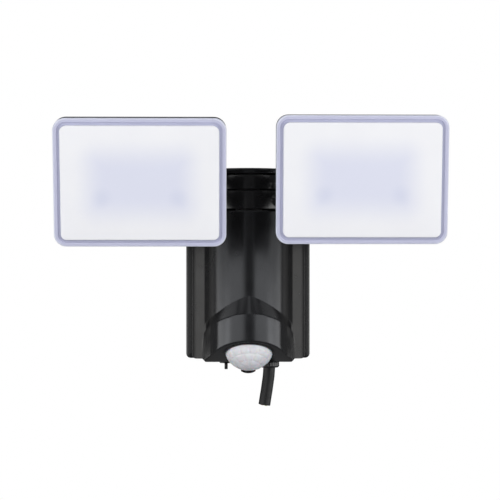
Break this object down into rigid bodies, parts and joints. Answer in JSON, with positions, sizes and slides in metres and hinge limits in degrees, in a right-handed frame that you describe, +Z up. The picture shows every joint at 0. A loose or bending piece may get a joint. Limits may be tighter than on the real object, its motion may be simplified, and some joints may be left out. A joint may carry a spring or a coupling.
{
  "type": "sensor floodlight",
  "caption": "Outdoor wall floodlight with tilting rectangular LED heads on swivelling arms, a domed motion sensor, adjusting knobs and a short supply cord.",
  "frame": {"origin": "centre of the back of the body, on the wall", "axes": "+Y into the wall, +Z up, +X to the right of someone facing the light"},
  "size_m": [0.278, 0.1228, 0.2137],
  "materials": {
    "black_plastic": "satin moulded",
    "black_aluminium": "black powder coat",
    "opal_plastic": "frosted opal",
    "sensor_plastic": "milky faceted",
    "black_rubber": "matt",
    "white_plastic": "matt",
    "circuit_board": "solder mask",
    "steel": "zinc plated",
    "ferrite": "matt",
    "capacitor_can": "sleeved",
    "terminal_grey": "matt"
  },
  "bodies": {
    "base": {"wall_bracket": "steel", "rear_cover": "black_plastic", "body_gasket": "black_rubber", "body_shell": "black_plastic", "cover_screw_1": "steel", "cover_screw_2": "steel", "cover_screw_3": "steel", "cover_screw_4": "steel", "bracket_lock_screw": "steel", "driver_board": "circuit_board", "transformer": "ferrite", "capacitor": "capacitor_can", "relay": "white_plastic", "terminal_block": "terminal_grey", "control_board": "circuit_board", "time_pot": "white_plastic", "lux_pot": "white_plastic", "sensor_board": "circuit_board", "pir_sensor": "steel", "pir_lens": "sensor_plastic", "lens_ring": "black_plastic", "gland_body": "black_plastic", "gland_nut": "black_plastic", "gland_seal": "black_rubber", "cord_clamp": "black_plastic", "clamp_screw_1": "steel", "clamp_screw_2": "steel", "supply_cord": "black_rubber", "pivot_pin": "steel", "pivot_nut": "steel", "washer_lower": "black_rubber", "washer_middle": "black_rubber", "washer_upper": "black_rubber"},
    "left_arm": {"left_arm": "black_plastic"},
    "right_arm": {"right_arm": "black_plastic"},
    "left_head": {"left_housing": "black_aluminium", "left_lens_cover": "opal_plastic", "left_lens_gasket": "black_rubber", "left_reflector": "white_plastic", "left_led_board": "white_plastic", "left_tilt_bolt": "steel", "left_tilt_knob": "black_plastic", "left_housing_screw_1": "steel", "left_housing_screw_2": "steel", "left_housing_screw_3": "steel", "left_housing_screw_4": "steel"},
    "right_head": {"right_housing": "black_aluminium", "right_lens_cover": "opal_plastic", "right_lens_gasket": "black_rubber", "right_reflector": "white_plastic", "right_led_board": "white_plastic", "right_tilt_bolt": "steel", "right_tilt_knob": "black_plastic", "right_housing_screw_1": "steel", "right_housing_screw_2": "steel", "right_housing_screw_3": "steel", "right_housing_screw_4": "steel"},
    "time_knob": {"time_knob": "black_plastic"},
    "lux_knob": {"lux_knob": "black_plastic"}
  },
  "joints": [
    {"name": "left_arm_swivel", "type": "hinge", "parent": "base", "child": "left_arm", "pos_m": [0, -0.036, 0.0608], "axis": [0, 0, -1], "range_deg": [-8, 18]},
    {"name": "right_arm_swivel", "type": "hinge", "parent": "base", "child": "right_arm", "pos_m": [0, -0.036, 0.0476], "axis": [0, 0, 1], "range_deg": [-8, 18]},
    {"name": "left_head_tilt", "type": "hinge", "parent": "left_arm", "child": "left_head", "pos_m": [-0.0782, -0.074, 0.0648], "axis": [1, 0, 0], "range_deg": [-50, 40]},
    {"name": "right_head_tilt", "type": "hinge", "parent": "right_arm", "child": "right_head", "pos_m": [0.0782, -0.074, 0.0648], "axis": [1, 0, 0], "range_deg": [-50, 40]},
    {"name": "time_knob_turn", "type": "hinge", "parent": "base", "child": "time_knob", "pos_m": [-0.0168, -0.014, -0.075], "axis": [0, 0, 1], "range_deg": [-135, 135]},
    {"name": "lux_knob_turn", "type": "hinge", "parent": "base", "child": "lux_knob", "pos_m": [0, -0.014, -0.075], "axis": [0, 0, 1], "range_deg": [-135, 135]}
  ]
}
